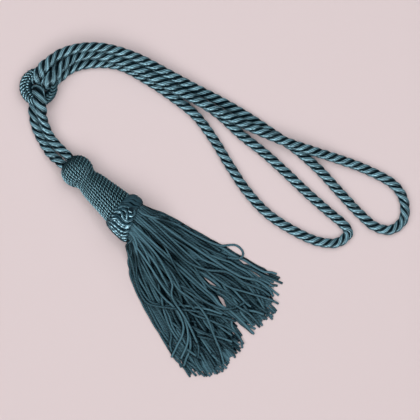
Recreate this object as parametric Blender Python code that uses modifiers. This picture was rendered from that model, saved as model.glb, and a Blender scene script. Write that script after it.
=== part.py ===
"""Curtain tieback: a folded twisted rope through a covered ring, with a long fringe tassel.

It lies on a flat surface at z = 0, seen from above with +Y up. Sizes are in millimetres in the
tables and are turned to metres where points are made. The tassel's own pieces are placed in the
tassel's frame: s runs along its axis from the ball at the top of the head towards the fringe, u
runs across it and v away from the surface.
"""

import math
import random

import bmesh
import bpy
from mathutils import Vector

MM = 0.001
GAP = 0.3
PRESSED_HEIGHT = 0.35

# Ropes, each of three strands laid together
ROPE_RADIUS = 3.9
ROPE_STRANDS = 3
ROPE_VALLEY = 0.74
ROPE_PITCH = 22.3
ROPE_STEPS_PER_TURN = 8
ROPE_LOWEST = 0.03
ROPE_CURVE_STEPS = 12

# The loop rope's route: x and y across the surface, z up, and how far the rope is squeezed.
LOOP_ROUTE = (
    # in the ring's hole, up and over its upper bar
    (-88.0, 112.5, 11.3, 0.80),
    (-87.7, 113.3, 14.6, 0.80),
    (-86.6, 116.4, 17.4, 0.80),
    (-84.3, 120.9, 18.6, 0.82),
    (-79.0, 126.3, 18.3, 0.92),
    (-70.5, 132.6, 17.8, 1.00),
    # top run, side by side with the next one, down to the surface
    (-55.0, 137.5, 18.3, 1.00),
    (-38.0, 138.2, 17.6, 1.00),
    (-20.0, 134.2, 16.0, 1.00),
    (-5.9, 128.9, 14.3, 1.00),
    (15.3, 117.8, 11.6, 1.00),
    (36.4, 106.7, 9.0, 1.00),
    (57.5, 96.1, 5.6, 1.00),
    (78.2, 84.3, 4.2, 1.00),
    (98.3, 71.0, 3.95, 1.00),
    (118.1, 57.5, 3.95, 1.00),
    (136.0, 41.6, 3.95, 1.00),
    (152.2, 23.9, 3.95, 1.00),
    (168.6, 6.4, 3.95, 1.00),
    # right loop's end
    (180.5, -3.6, 3.95, 1.00),
    (193.0, -6.3, 3.95, 1.00),
    (203.0, 1.6, 3.95, 1.00),
    (203.6, 17.0, 3.95, 1.00),
    (196.1, 29.2, 3.95, 1.00),
    (175.3, 41.1, 4.1, 1.00),
    (152.9, 49.5, 6.2, 1.00),
    # over the first run, and beside it to the ring
    (130.5, 56.5, 10.5, 1.00),
    (107.9, 64.1, 12.3, 1.00),
    (85.9, 73.3, 11.4, 1.00),
    (64.2, 83.4, 11.6, 1.00),
    (43.0, 94.3, 12.1, 1.00),
    (21.6, 105.2, 11.7, 1.00),
    (0.5, 116.7, 11.4, 1.00),
    (-21.0, 127.3, 11.5, 1.00),
    (-44.1, 132.9, 11.6, 1.00),
    (-58.5, 129.9, 13.6, 1.00),
    (-68.6, 122.6, 17.2, 0.94),
    # over the ring's right bar, down its hole and out beneath
    (-76.2, 114.2, 18.7, 0.82),
    (-79.8, 110.5, 16.2, 0.80),
    (-81.2, 109.5, 11.1, 0.80),
    (-79.2, 110.7, 5.0, 0.80),
    (-75.0, 113.4, 3.3, 0.82),
    (-69.6, 117.2, 3.8, 0.94),
    # lowest run beside the others, then away to the left loop's end
    (-58.0, 124.0, 3.95, 1.00),
    (-38.0, 126.6, 3.95, 1.00),
    (-21.4, 124.0, 3.95, 1.00),
    (-0.3, 112.7, 3.95, 1.00),
    (19.6, 99.4, 3.95, 1.00),
    (38.1, 84.3, 3.95, 1.00),
    (52.4, 65.0, 3.95, 1.00),
    (64.9, 44.5, 3.95, 1.00),
    (78.3, 24.6, 3.95, 1.00),
    (94.5, 7.0, 3.95, 1.00),
    (114.5, -6.3, 3.95, 1.00),
    (136.5, -15.9, 3.95, 1.00),
    (151.2, -16.2, 3.95, 1.00),
    (159.4, -8.6, 3.95, 1.00),
    (155.0, -1.6, 3.95, 1.00),
    (145.7, 6.3, 3.95, 1.00),
    (127.6, 22.1, 3.95, 1.00),
    (110.2, 38.7, 3.95, 1.00),
    (92.5, 54.8, 3.95, 1.00),
    (73.6, 69.7, 3.95, 1.00),
    # hidden run under the two upper ones, back under the bar into the hole
    (55.9, 85.9, 3.95, 1.00),
    (35.9, 99.1, 3.95, 1.00),
    (16.0, 112.6, 3.95, 1.00),
    (-4.3, 125.6, 3.95, 1.00),
    (-26.8, 134.1, 3.95, 1.00),
    (-50.6, 135.2, 3.95, 1.00),
    (-72.0, 126.9, 3.95, 0.94),
    (-82.4, 119.8, 3.4, 0.82),
    (-86.2, 116.2, 4.4, 0.80),
    (-87.8, 113.3, 7.6, 0.80),
    (-88.0, 112.5, 10.9, 0.80),
)

# The tassel cord's route: from the head, under the ring's lower bar, up its hole, over and back.
CORD_ROUTE = (
    (-67.3, 45.0, 11.3, 0.92),
    (-71.1, 48.3, 10.6, 0.94),
    (-77.3, 53.5, 6.8, 1.00),
    (-82.6, 61.2, 4.3, 1.00),
    (-88.7, 72.8, 3.95, 1.00),
    (-91.4, 82.5, 3.95, 1.00),
    (-91.2, 90.5, 3.8, 0.94),
    (-89.9, 97.2, 3.4, 0.82),
    (-88.7, 102.8, 5.2, 0.82),
    (-87.9, 105.3, 11.1, 0.82),
    (-87.1, 102.9, 17.0, 0.82),
    (-86.1, 96.9, 19.1, 0.84),
    (-85.0, 90.3, 17.6, 0.94),
    (-83.9, 82.6, 13.4, 1.00),
    (-81.9, 75.4, 10.2, 1.00),
    (-78.6, 68.0, 8.3, 1.00),
    (-73.1, 61.0, 8.8, 1.00),
    (-66.2, 54.7, 10.8, 0.94),
    (-62.2, 50.6, 11.4, 0.92),
)

# Covered ring: a round tube that is thinnest at its upper right, where the ropes pull on it.
RING_CENTRE = (-87.3, 107.3, 11.1)
RING_OUTER_RADIUS = 15.4
RING_HOLE_RADIUS = 8.5
RING_HOLE_SHIFT = (1.6, 0.8)
RING_STITCHES = 30
RING_STITCH_HEIGHT = 0.35
RING_SIDES = 8

# The tassel's frame
BALL_CENTRE = (-55.8, 39.8, 12.4)
AXIS_ANGLE = math.radians(-41.8)
AXIS_RISE = math.radians(4.7)

# Head: radius along the axis, with lengthwise ribs of wound cord
HEAD_PROFILE = (
    # s, radius
    (-11.1, 0.0),
    (-11.1, 6.5),
    (-8.4, 10.0),
    (-4.5, 12.1),
    (0.0, 12.6),
    (4.2, 11.6),
    (7.2, 9.9),
    (9.6, 9.3),
    (12.4, 9.9),
    (17.0, 11.0),
    (24.0, 11.8),
    (31.0, 12.5),
    (38.0, 13.3),
    (44.7, 14.1),
    (44.7, 13.0),
    (50.4, 13.0),
    (50.4, 0.0),
)
HEAD_RIBS = 32
HEAD_RIB_HEIGHT = 0.45
HEAD_RIB_SLANT = 0.25
HEAD_RIBLESS_RADIUS = 1.0

# Collar: a twisted band whose lower edge is cut on a slant
COLLAR_TOP = 45.0
COLLAR_LOWER_EDGE = 59.2
COLLAR_SLANT = -0.373
COLLAR_INNER_RADIUS = 13.6
COLLAR_RIBS = 24
COLLAR_RIB_HEIGHT = 0.8
COLLAR_OUTER_POINTS = 5
COLLAR_OUTER_RADIUS = 17.4
COLLAR_SECTION = (
    # share of the way down the band, radius
    (0.00, 14.6),
    (0.18, 16.6),
    (0.50, COLLAR_OUTER_RADIUS),
    (0.82, 17.6),
    (1.00, 17.3),
    (0.98, 16.6),
    (0.00, COLLAR_INNER_RADIUS),
)

# Knot on the collar's front
KNOT_S = 49.5
KNOT_LOBE = 2.35
KNOT_CORD_RADIUS = 1.75
KNOT_LIFT = 1.95
KNOT_POINTS = 54

# Skirt
PLUG_TOP = 50.8
PLUG_TOP_RADIUS = 13.1
PLUG_RADIUS = 15.2
PLUG_INSET = 1.3
PLUG_SIDES = 32
STRAND_RADIUS = 0.86
STRAND_SIDES = 3
STRAND_SPANS = 8
STRAND_CURVE_STEPS = 6
STRAND_CELL = 5.1
STRAND_FIELD_RADIUS = 13.9
STRAND_SINK = 0.8
STRAND_LEAD = 3.0
STRAND_LEAD_SHARE = 0.025
LATTICE_SHIFT = (0.37, 0.19)
LATTICE_REACH = 12
FRINGE_LOWEST = 0.5 * STRAND_RADIUS + 0.05
FRINGE_SPREAD = 2.6
FRINGE_LOFT = 1.2
FRINGE_LOFTED_BY = 0.25
FRINGE_LYING_BY = 0.45
GUIDE_SPANS = 4
FRINGE_GUIDES = (
    # share of the length, then x and y of five lines of fringe from the left edge to the right
    (0.10, (-17.0, -28.0), (-10.9, -19.7), (-5.1, -9.4), (0.2, 0.2), (4.3, 10.6)),
    (0.25, (-11.8, -44.4), (-1.4, -36.7), (7.8, -24.4), (16.0, -12.4), (20.3, 0.6)),
    (0.40, (-4.7, -60.8), (9.0, -53.2), (21.2, -39.0), (32.0, -24.6), (35.9, -10.0)),
    (0.55, (3.3, -76.0), (20.0, -69.4), (34.5, -53.6), (48.2, -36.8), (51.8, -20.2)),
    (0.70, (11.3, -91.2), (31.3, -85.4), (47.8, -68.3), (64.1, -49.3), (68.9, -28.4)),
    (0.85, (20.6, -106.0), (43.0, -101.0), (60.6, -83.5), (79.4, -62.5), (85.7, -36.8)),
    (1.00, (31.3, -120.0), (54.5, -116.8), (73.7, -98.4), (93.7, -76.8), (102.5, -45.6)),
)
FRINGE_ENDS = (
    # place across the fringe, how far down the guide lines its ends reach
    (-1.00, 1.02),
    (-0.85, 1.05),
    (-0.60, 1.03),
    (-0.30, 1.02),
    (-0.05, 1.01),
    (0.10, 0.87),
    (0.28, 1.00),
    (0.45, 0.99),
    (0.62, 1.04),
    (0.80, 0.97),
    (1.00, 1.02),
)
FRINGE_END_SPREAD = 0.03
FRINGE_SEED = 7

COLOURS = {
    "loop_rope": (0.030, 0.095, 0.115),
    "tassel_cord": (0.030, 0.095, 0.115),
    "cord_ring": (0.024, 0.078, 0.095),
    "tassel_head": (0.022, 0.074, 0.088),
    "collar_rope": (0.028, 0.088, 0.105),
    "collar_knot": (0.034, 0.105, 0.125),
    "tassel_skirt": (0.020, 0.070, 0.084),
}
ROUGHNESS = 0.5


def clear_scene():
    for obj in list(bpy.data.objects):
        bpy.data.objects.remove(obj, do_unlink=True)


def new_collection(name):
    collection = bpy.data.collections.new(name)
    bpy.context.scene.collection.children.link(collection)
    return collection


def give_material(obj):
    material = bpy.data.materials.new(obj.name)
    material.use_nodes = True
    shader = material.node_tree.nodes["Principled BSDF"]
    shader.inputs["Base Color"].default_value = (*COLOURS[obj.name], 1.0)
    shader.inputs["Roughness"].default_value = ROUGHNESS
    shader.inputs["Metallic"].default_value = 0.0
    obj.data.materials.clear()
    obj.data.materials.append(material)


def spline_through(rows, per_span):
    """Centripetal Catmull-Rom curve through rows of numbers, as a list of tuples."""
    knots = [Vector(row) for row in rows]
    knots = [2 * knots[0] - knots[1], *knots, 2 * knots[-1] - knots[-2]]
    line = []
    for before, start, end, after in zip(knots, knots[1:], knots[2:], knots[3:]):
        t0 = 0.0
        t1 = t0 + math.sqrt((start - before).length)
        t2 = t1 + math.sqrt((end - start).length)
        t3 = t2 + math.sqrt((after - end).length)
        for step in range(per_span):
            t = t1 + (t2 - t1) * step / per_span
            a = before.lerp(start, (t - t0) / (t1 - t0))
            b = start.lerp(end, (t - t1) / (t2 - t1))
            c = end.lerp(after, (t - t2) / (t3 - t2))
            ab = a.lerp(b, (t - t0) / (t2 - t0))
            bc = b.lerp(c, (t - t1) / (t3 - t1))
            line.append(ab.lerp(bc, (t - t1) / (t2 - t1)))
    line.append(knots[-2])
    return line


def even_steps(line, wanted_step):
    """Points a step apart along a line whose rows begin with x, y, z. Gives points and step."""
    reach = [0.0]
    for start, end in zip(line, line[1:]):
        reach.append(reach[-1] + (Vector(end[:3]) - Vector(start[:3])).length)
    count = round(reach[-1] / wanted_step)
    step = reach[-1] / count
    points = []
    place = 0
    for number in range(count + 1):
        target = min(number * step, reach[-1])
        while place < len(line) - 2 and reach[place + 1] < target:
            place += 1
        share = (target - reach[place]) / (reach[place + 1] - reach[place])
        points.append(Vector(line[place]).lerp(Vector(line[place + 1]), share))
    return points, step


def smooth_rise(share):
    """From 0 to 1, level at both ends."""
    share = min(1.0, max(0.0, share))
    return share * share * (3 - 2 * share)


def lookup(table, place):
    """Smooth value from a table whose first column rises."""
    for (x0, y0), (x1, y1) in zip(table, table[1:]):
        if place <= x1:
            return y0 + (y1 - y0) * smooth_rise((place - x0) / (x1 - x0))
    return table[-1][1]


# ---- ropes


def rope_section(guides):
    """Cross-section of the strands laid together: a ridge and a valley for each."""
    curve = bpy.data.curves.new("rope_section", "CURVE")
    curve.dimensions = "2D"
    spline = curve.splines.new("POLY")
    spline.points.add(2 * ROPE_STRANDS - 1)
    spline.use_cyclic_u = True
    for number, point in enumerate(spline.points):
        angle = -number * math.pi / ROPE_STRANDS
        radius = ROPE_RADIUS * (1.0 if number % 2 == 0 else ROPE_VALLEY) * MM
        point.co = (radius * math.cos(angle), radius * math.sin(angle), 0.0, 1.0)
    obj = bpy.data.objects.new("rope_section", curve)
    obj.hide_render = True
    obj.display_type = "WIRE"
    guides.objects.link(obj)
    return obj


def make_rope(name, route, section, parts):
    smooth = spline_through(route, ROPE_CURVE_STEPS)
    line, step = even_steps(smooth, ROPE_PITCH / ROPE_STEPS_PER_TURN)
    curve = bpy.data.curves.new(name, "CURVE")
    curve.dimensions = "3D"
    curve.bevel_mode = "OBJECT"
    curve.bevel_object = section
    curve.use_fill_caps = True
    spline = curve.splines.new("POLY")
    spline.points.add(len(line) - 1)
    turn_per_step = 2 * math.pi * step / ROPE_PITCH
    for number, (x, y, z, size) in enumerate(line):
        z = max(z, ROPE_LOWEST + ROPE_RADIUS * size)
        spline.points[number].co = (x * MM, y * MM, z * MM, 1.0)
        spline.points[number].radius = size
        spline.points[number].tilt = -number * turn_per_step
    obj = bpy.data.objects.new(name, curve)
    parts.objects.link(obj)
    give_material(obj)
    return obj


# ---- rings and bands, from a torus whose points are placed by a rule


def ring_form(name, around, section_points, place, parts):
    """A closed band. place(turn, number) puts point `number` of the section at that turn."""
    bpy.ops.mesh.primitive_torus_add(
        major_segments=around, minor_segments=section_points, major_radius=1.0, minor_radius=0.25
    )
    obj = bpy.context.object
    obj.name = name
    obj.data.name = name
    for vertex in obj.data.vertices:
        turn = 2 * math.pi * (vertex.index // section_points) / around
        vertex.co = place(turn, vertex.index % section_points)
    outward_faces(obj.data)
    obj.data.shade_smooth()
    for collection in list(obj.users_collection):
        collection.objects.unlink(obj)
    parts.objects.link(obj)
    give_material(obj)
    return obj


def outward_faces(mesh):
    form = bmesh.new()
    form.from_mesh(mesh)
    bmesh.ops.recalc_face_normals(form, faces=form.faces)
    form.to_mesh(mesh)
    form.free()


def ring_tube(turn):
    """Radius of the tube's middle line and of the tube itself, at an angle round the ring."""
    across = Vector((math.cos(turn), math.sin(turn)))
    shift = Vector(RING_HOLE_SHIFT)
    along = shift.dot(across)
    inner = along + math.sqrt(along**2 - shift.length_squared + RING_HOLE_RADIUS**2)
    return (RING_OUTER_RADIUS + inner) / 2, (RING_OUTER_RADIUS - inner) / 2


def make_ring(parts):
    around = 2 * RING_STITCHES

    def place(turn, number):
        middle, tube = ring_tube(turn)
        angle = 2 * math.pi * number / RING_SIDES
        column = round(turn * around / (2 * math.pi))
        tube += RING_STITCH_HEIGHT * (0.0 if column % 2 else -1.0)
        radius = middle + tube * math.cos(angle)
        return (
            (RING_CENTRE[0] + radius * math.cos(turn)) * MM,
            (RING_CENTRE[1] + radius * math.sin(turn)) * MM,
            (RING_CENTRE[2] + tube * math.sin(angle)) * MM,
        )

    return ring_form("cord_ring", around, RING_SIDES, place, parts)


# ---- the tassel


def tassel_axes():
    along = Vector(
        (
            math.cos(AXIS_ANGLE) * math.cos(AXIS_RISE),
            math.sin(AXIS_ANGLE) * math.cos(AXIS_RISE),
            math.sin(AXIS_RISE),
        )
    )
    across = Vector((-math.sin(AXIS_ANGLE), math.cos(AXIS_ANGLE), 0.0))
    return along, across, along.cross(across)


def tassel_point(s, u, v):
    """A point in the tassel's frame, in millimetres, kept on or above the surface."""
    along, across, up = tassel_axes()
    point = Vector(BALL_CENTRE) + s * along + u * across + v * up
    point.z = max(point.z, 0.0)
    return point


def valley_depth(depth, s, radius, angle):
    """Depth of a valley between two ribs, which are pressed flat where they meet the surface."""
    height = tassel_point(s, radius * math.cos(angle), radius * math.sin(angle)).z
    return depth if height > PRESSED_HEIGHT else 0.0


def make_head(parts):
    columns = 2 * HEAD_RIBS
    profile = bpy.data.meshes.new("head_profile")
    profile.from_pydata(
        [(radius, 0.0, -s) for s, radius in HEAD_PROFILE],
        [(number, number + 1) for number in range(len(HEAD_PROFILE) - 1)],
        [],
    )
    turned = bpy.data.objects.new("head_profile", profile)
    parts.objects.link(turned)
    screw = turned.modifiers.new("turn", "SCREW")
    screw.steps = columns
    screw.render_steps = columns
    screw.use_merge_vertices = True
    screw.merge_threshold = 0.0001
    graph = bpy.context.evaluated_depsgraph_get()
    mesh = bpy.data.meshes.new_from_object(turned.evaluated_get(graph))
    bpy.data.objects.remove(turned, do_unlink=True)
    mesh.name = "tassel_head"
    for vertex in mesh.vertices:
        x, y, s = vertex.co.x, vertex.co.y, -vertex.co.z
        radius = math.hypot(x, y)
        angle = math.atan2(y, x)
        column = round(angle * columns / (2 * math.pi))
        angle += HEAD_RIB_SLANT * s / HEAD_PROFILE[-1][0]
        if column % 2 and radius > HEAD_RIBLESS_RADIUS:
            radius -= valley_depth(HEAD_RIB_HEIGHT, s, radius, angle)
        vertex.co = tassel_point(s, radius * math.cos(angle), radius * math.sin(angle)) * MM
    outward_faces(mesh)
    mesh.shade_smooth()
    obj = bpy.data.objects.new("tassel_head", mesh)
    parts.objects.link(obj)
    give_material(obj)
    return obj


def collar_edge(u):
    """How far down the axis the collar's slanting lower edge is."""
    return COLLAR_LOWER_EDGE + COLLAR_SLANT * u


def make_collar(parts):
    around = 2 * COLLAR_RIBS

    def place(turn, number):
        share, radius = COLLAR_SECTION[number]
        column = round(turn * around / (2 * math.pi))
        length = collar_edge(radius * math.cos(turn)) - COLLAR_TOP
        s = COLLAR_TOP + share * length
        angle = turn
        if number < COLLAR_OUTER_POINTS:
            angle += 2 * math.pi * (share - 0.5) / COLLAR_RIBS
        if column % 2 and 0 < number < COLLAR_OUTER_POINTS - 1:
            radius -= valley_depth(COLLAR_RIB_HEIGHT, s, radius, angle)
        return tassel_point(s, radius * math.cos(angle), radius * math.sin(angle)) * MM

    return ring_form("collar_rope", around, len(COLLAR_SECTION), place, parts)


def make_knot(parts):
    """A three-lobed interlaced knot of cord, bent round the collar's front."""
    base = COLLAR_OUTER_RADIUS + GAP + KNOT_LIFT + KNOT_CORD_RADIUS
    curve = bpy.data.curves.new("collar_knot", "CURVE")
    curve.dimensions = "3D"
    curve.bevel_depth = KNOT_CORD_RADIUS * MM
    curve.bevel_resolution = 1
    spline = curve.splines.new("POLY")
    spline.points.add(KNOT_POINTS - 1)
    spline.use_cyclic_u = True
    for number, point in enumerate(spline.points):
        t = 2 * math.pi * number / KNOT_POINTS
        along = KNOT_LOBE * (math.sin(t) + 2 * math.sin(2 * t))
        around = KNOT_LOBE * (math.cos(t) - 2 * math.cos(2 * t))
        radius = base - KNOT_LIFT * math.sin(3 * t)
        angle = around / base
        place = tassel_point(KNOT_S + along, radius * math.sin(angle), radius * math.cos(angle))
        point.co = (*(place * MM), 1.0)
    obj = bpy.data.objects.new("collar_knot", curve)
    parts.objects.link(obj)
    give_material(obj)
    return obj


# ---- the skirt


def strand_field():
    """Where strands leave the heading: points (u, v) on a golden lattice inside its circle.

    Such a lattice keeps its points apart while it is stretched sideways and pressed flat.
    """
    golden = (1 + math.sqrt(5)) / 2
    scale = math.sqrt(STRAND_CELL / math.sqrt(5))
    reach = range(-LATTICE_REACH, LATTICE_REACH + 1)
    shift_m, shift_n = LATTICE_SHIFT
    field = []
    for m in reach:
        for n in reach:
            u = scale * (m + shift_m + (n + shift_n) * golden)
            v = scale * (m + shift_m + (n + shift_n) * (1 - golden))
            if math.hypot(u, v) < STRAND_FIELD_RADIUS:
                field.append((u, v))
    return sorted(field)


def plug_edge(u):
    return collar_edge(u) - PLUG_INSET


def guide_point(line, place):
    """A point on the line of fringe at `place` from -1, the left edge, to 1, the right edge."""
    knots = [Vector(point) for point in line]
    knots = [2 * knots[0] - knots[1], *knots, 2 * knots[-1] - knots[-2]]
    spans_across = (place + 1) * GUIDE_SPANS / 2
    span = min(GUIDE_SPANS - 1, int(spans_across))
    share = spans_across - span
    p0, p1, p2, p3 = knots[span : span + 4]
    return 0.5 * (
        2 * p1
        + (p2 - p0) * share
        + (2 * p0 - 5 * p1 + 4 * p2 - p3) * share**2
        + (3 * p1 - p0 - 3 * p2 + p3) * share**3
    )


def strand_line(u, v, reach):
    """The middle line of the strand that leaves the heading at (u, v), in millimetres."""
    place = u / (STRAND_FIELD_RADIUS + STRAND_RADIUS)
    half = math.sqrt(max(0.0, STRAND_FIELD_RADIUS**2 - u**2))
    start = tassel_point(plug_edge(u), u, v)
    axis_height = tassel_point(plug_edge(u), u, 0.0).z
    ahead = start + STRAND_LEAD * tassel_axes()[0]
    rows = [(0.0, start.x, start.y), (STRAND_LEAD_SHARE, ahead.x, ahead.y)]
    for share, *line in FRINGE_GUIDES:
        rows.append((share, *guide_point(line, place)))
    before = rows[-2]
    last = rows[-1]
    rows.append(tuple(2 * b - a for a, b in zip(before, last)))
    line = []
    for point in spline_through(rows, STRAND_CURVE_STEPS):
        share, x, y = point
        if share > reach:
            break
        loft = 1.0 + (FRINGE_LOFT - 1.0) * smooth_rise(share / FRINGE_LOFTED_BY)
        press = loft / (1.0 + FRINGE_SPREAD * share)
        lying = FRINGE_LOWEST + press * (v + half)
        flat = smooth_rise(share / FRINGE_LYING_BY)
        line.append(Vector((x, y, (1 - flat) * (axis_height + press * v) + flat * lying)))
    return line


def strand_form(form, line):
    """Adds one strand, a thin prism along the line, to a bmesh."""
    points, _ = even_steps(line, line_length(line) / STRAND_SPANS)
    rings = []
    for number, point in enumerate(points):
        ahead = points[min(number + 1, len(points) - 1)]
        behind = points[max(number - 1, 0)]
        along = (ahead - behind).normalized()
        side = along.cross(Vector((0, 0, 1))).normalized()
        up = side.cross(along)
        ring = []
        for corner in range(STRAND_SIDES):
            angle = 2 * math.pi * corner / STRAND_SIDES + math.pi / 2
            offset = side * math.cos(angle) + up * math.sin(angle)
            ring.append(form.verts.new((point + STRAND_RADIUS * offset) * MM))
        rings.append(ring)
    for ring, after in zip(rings, rings[1:]):
        for corner in range(STRAND_SIDES):
            other = (corner + 1) % STRAND_SIDES
            form.faces.new((ring[corner], ring[other], after[other], after[corner]))
    form.faces.new(rings[0][::-1])
    form.faces.new(rings[-1])


def line_length(line):
    return sum((end - start).length for start, end in zip(line, line[1:]))


def make_strands(guides):
    randoms = random.Random(FRINGE_SEED)
    form = bmesh.new()
    for u, v in strand_field():
        place = u / (STRAND_FIELD_RADIUS + STRAND_RADIUS)
        reach = lookup(FRINGE_ENDS, place) - randoms.uniform(0.0, FRINGE_END_SPREAD)
        line = strand_line(u, v, reach)
        along, _, _ = tassel_axes()
        line.insert(0, line[0] - STRAND_SINK * along)
        strand_form(form, line)
    bmesh.ops.recalc_face_normals(form, faces=form.faces)
    mesh = bpy.data.meshes.new("strands")
    form.to_mesh(mesh)
    form.free()
    obj = bpy.data.objects.new("strands", mesh)
    obj.hide_render = True
    obj.display_type = "WIRE"
    guides.objects.link(obj)
    return obj


def make_skirt(parts, guides):
    """The heading, a plug inside the collar with a slanting end, joined to the strands."""
    bpy.ops.mesh.primitive_cylinder_add(vertices=PLUG_SIDES, radius=1.0, depth=1.0)
    obj = bpy.context.object
    obj.name = "tassel_skirt"
    obj.data.name = "tassel_skirt"
    for vertex in obj.data.vertices:
        u, v, end = vertex.co
        if end > 0:
            u, v = PLUG_RADIUS * u, PLUG_RADIUS * v
            vertex.co = tassel_point(plug_edge(u), u, v) * MM
        else:
            vertex.co = tassel_point(PLUG_TOP, PLUG_TOP_RADIUS * u, PLUG_TOP_RADIUS * v) * MM
    outward_faces(obj.data)
    for collection in list(obj.users_collection):
        collection.objects.unlink(obj)
    parts.objects.link(obj)
    union = obj.modifiers.new("strands", "BOOLEAN")
    union.operation = "UNION"
    union.solver = "EXACT"
    union.object = make_strands(guides)
    give_material(obj)
    return obj


def main():
    clear_scene()
    parts = new_collection("curtain_tieback_tassel")
    guides = new_collection("guides")
    section = rope_section(guides)
    make_rope("loop_rope", LOOP_ROUTE, section, parts)
    make_rope("tassel_cord", CORD_ROUTE, section, parts)
    make_ring(parts)
    make_head(parts)
    make_collar(parts)
    make_knot(parts)
    make_skirt(parts, guides)


main()
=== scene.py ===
"""Looks of a curtain tieback: a folded twisted rope through a covered ring, and a fringe tassel.

It lies on a flat surface at z = 0 and is seen from straight above. Its lengths are in
millimetres until its meshes are made, those of the camera, lights and floor in metres. The
tassel's own pieces are placed in the tassel's frame: s runs along its axis from the ball at the
top of the head towards the fringe, u runs across it and v away from the surface.
"""

import itertools
import math
import random

import bpy
import numpy as np
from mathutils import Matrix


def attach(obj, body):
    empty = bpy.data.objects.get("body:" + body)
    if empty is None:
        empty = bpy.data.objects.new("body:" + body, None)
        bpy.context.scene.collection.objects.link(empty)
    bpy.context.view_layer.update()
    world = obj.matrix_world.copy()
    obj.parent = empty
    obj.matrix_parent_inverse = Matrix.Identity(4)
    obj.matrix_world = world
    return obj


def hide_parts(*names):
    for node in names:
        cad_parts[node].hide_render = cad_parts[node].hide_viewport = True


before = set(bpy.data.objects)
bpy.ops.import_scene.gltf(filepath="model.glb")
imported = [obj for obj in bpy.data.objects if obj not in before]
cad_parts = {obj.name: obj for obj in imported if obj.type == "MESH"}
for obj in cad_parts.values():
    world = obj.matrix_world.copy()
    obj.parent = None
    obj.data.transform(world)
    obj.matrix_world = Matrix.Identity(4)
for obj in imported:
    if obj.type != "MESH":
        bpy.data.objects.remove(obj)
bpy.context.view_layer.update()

MM = 0.001
TURN = 2 * math.pi
NEGLIGIBLE = 1e-9
NEARLY_UPRIGHT = 0.1
FLOOR_CLEARANCE = 0.03
LINE_CLEARANCE = 0.05

# ---- camera, light and floor

CAMERA_HEIGHT = 1.5
CAMERA_REACH = 20.0
FRAME_WIDTH = 0.336
VIEW_CENTRE = (0.04888, 0.0096)
SENSOR = 36.0
LIGHTS = (
    # name, place, size, power, colour, whether it shows in diffuse light and in sheen
    ("top", (-0.12, -0.10, 1.6), (2.2, 2.2), 36.0, (1.0, 0.99, 0.98), True, False),
    ("fill", (0.70, 0.90, 1.8), (1.6, 1.6), 9.0, (0.97, 0.98, 1.0), True, False),
    ("window", (-0.44, -1.03, 0.76), (3.0, 0.46), 58.0, (1.0, 1.0, 1.0), False, True),
)
STUDIO_COLOUR = (0.95, 0.97, 1.0, 1.0)
STUDIO_STRENGTH = 0.09
FLOOR_HALF = 3.0
FLOOR_COLOUR = (0.675, 0.575, 0.585, 1.0)
FLOOR_ROUGHNESS = 0.9

# ---- tubes

# A tube's blunt end, in its own radii.
TUBE_END_REACH = 0.3
TUBE_END_RADIUS = 0.6
# The tone of what lies under the yarns, as dark as they get: painted shade between them.
CORE_SHADE_TONE = -1.0

# ---- ropes

ROPE_RADIUS = 4.0
ROPE_PITCH = 21.3
ROPE_STEP = 1.35
ROPE_STRANDS = 3
ROPE_STRAND_RADIUS = 1.55
ROPE_STRAND_WIDENED = 1.32
ROPE_YARNS = 10
ROPE_YARN_POINTS = 4
ROPE_YARN_TURN = 0.05
ROPE_YARN_DEPTH = 0.07
ROPE_TONE = 0.35
ROPE_TONE_STEP = 0.15
# A cord's end is thinner inside the head, so that it stays under the winding.
ROPE_TAPER = 0.35
ROPE_TAPER_FROM = 13.0
ROPE_TAPER_OVER = 6.0

# Where a cord bends over the ring it spreads along the bar.
SPREAD_NEAR = 15.0
SPREAD_FAR = 25.0
SPREAD_IN_HOLE = 0.58
SPREAD_ON_BAR = 0.50
SPREAD_HEIGHT = 7.0
SPREAD_BELOW = 0.50
SPREAD_BELOW_NEAR = 8.0
SPREAD_BELOW_FAR = 13.0
SPREAD_YARN_DEPTH = 1.20
SPREAD_FILL = 0.30
SPREAD_FILL_BELOW = 0.25

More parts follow.
